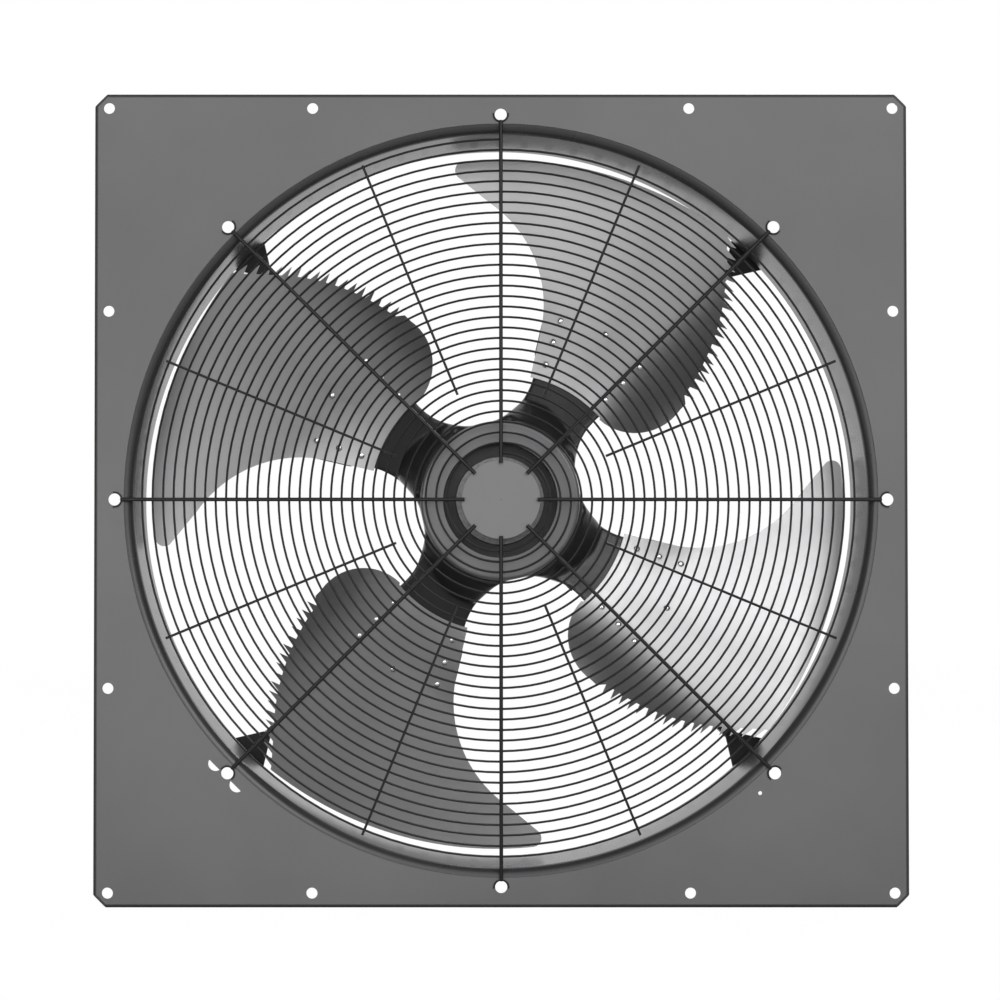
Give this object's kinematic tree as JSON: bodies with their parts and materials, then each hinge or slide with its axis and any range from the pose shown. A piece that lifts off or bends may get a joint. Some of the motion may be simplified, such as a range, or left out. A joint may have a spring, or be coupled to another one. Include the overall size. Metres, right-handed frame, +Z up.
{
  "type": "axial fan",
  "caption": "Axial fan in a square wall plate with a nozzle ring, a spiral wire guard, sickle-shaped blades with toothed rear edges, and an external-rotor motor on struts.",
  "frame": {"origin": "on the fan axis, in the plane of the wall plate's visible face", "axes": "+X to the viewer's right, +Z up, +Y along the fan axis away from the viewer, towards the motor"},
  "size_m": [1.07, 0.2498, 1.07],
  "materials": {
    "plate_paint": "satin grey coat on folded sheet",
    "nozzle_paint": "satin grey coat on pressed sheet",
    "guard_wire": "satin black coat on steel wire",
    "disc_metal": "plain grey sheet",
    "blade_metal": "satin rolled sheet",
    "rivet_steel": "bright",
    "hub_black": "gloss black coat",
    "rotor_grey": "gloss grey coat",
    "cast_aluminium": "as cast",
    "magnet": "plated dark",
    "steel": "ground",
    "zinc_steel": "zinc plated",
    "core_steel": "stacked sheets",
    "copper": "enamelled wire",
    "strut_black": "satin black coat",
    "board_green": "printed board",
    "capacitor": "sleeved can",
    "seal_rubber": "matte",
    "black_plastic": "moulded"
  },
  "bodies": {
    "frame": {"wall_plate": "plate_paint", "nozzle_ring": "nozzle_paint", "guard_spiral": "guard_wire", "guard_long_spokes": "guard_wire", "guard_short_spokes": "guard_wire", "guard_centre_disc": "disc_metal", "front_outer_race": "steel", "rear_outer_race": "steel", "bearing_spring": "steel", "stator_bush": "cast_aluminium", "stator_core": "core_steel", "stator_coils": "copper", "motor_bolts": "zinc_steel", "strut_1": "strut_black", "strut_2": "strut_black", "strut_3": "strut_black", "strut_4": "strut_black", "rim_bolts": "zinc_steel", "rim_nuts": "zinc_steel", "motor_plate": "strut_black", "strut_bolts": "zinc_steel", "strut_nuts": "zinc_steel", "electronics_housing": "cast_aluminium", "control_board": "board_green", "board_capacitors": "capacitor", "housing_seal": "seal_rubber", "housing_cover": "black_plastic", "cover_screws": "zinc_steel", "power_gland": "black_plastic", "signal_gland": "black_plastic"},
    "impeller": {"blade_1": "blade_metal", "blade_2": "blade_metal", "blade_3": "blade_metal", "blade_4": "blade_metal", "blade_rivets": "rivet_steel", "hub_star": "hub_black", "hub_screws": "zinc_steel", "rotor_cap": "rotor_grey", "rotor_cup": "cast_aluminium", "rotor_magnets": "magnet", "rotor_shaft": "steel", "front_inner_race": "steel", "rear_inner_race": "steel", "shaft_ring": "steel"},
    "bearing_balls": {"front_ball_set": "steel", "rear_ball_set": "steel"}
  },
  "joints": [
    {"name": "impeller_spin", "type": "hinge", "parent": "frame", "child": "impeller", "pos_m": [0, 0.1, 0], "axis": [0, -1, 0], "continuous": true},
    {"name": "bearing_roll", "type": "hinge", "parent": "frame", "child": "bearing_balls", "pos_m": [0, 0.1, 0], "axis": [0, -1, 0], "continuous": true}
  ],
  "couplings": [
    {"joint": "bearing_roll", "follows": "impeller_spin", "ratio": 0.4}
  ]
}
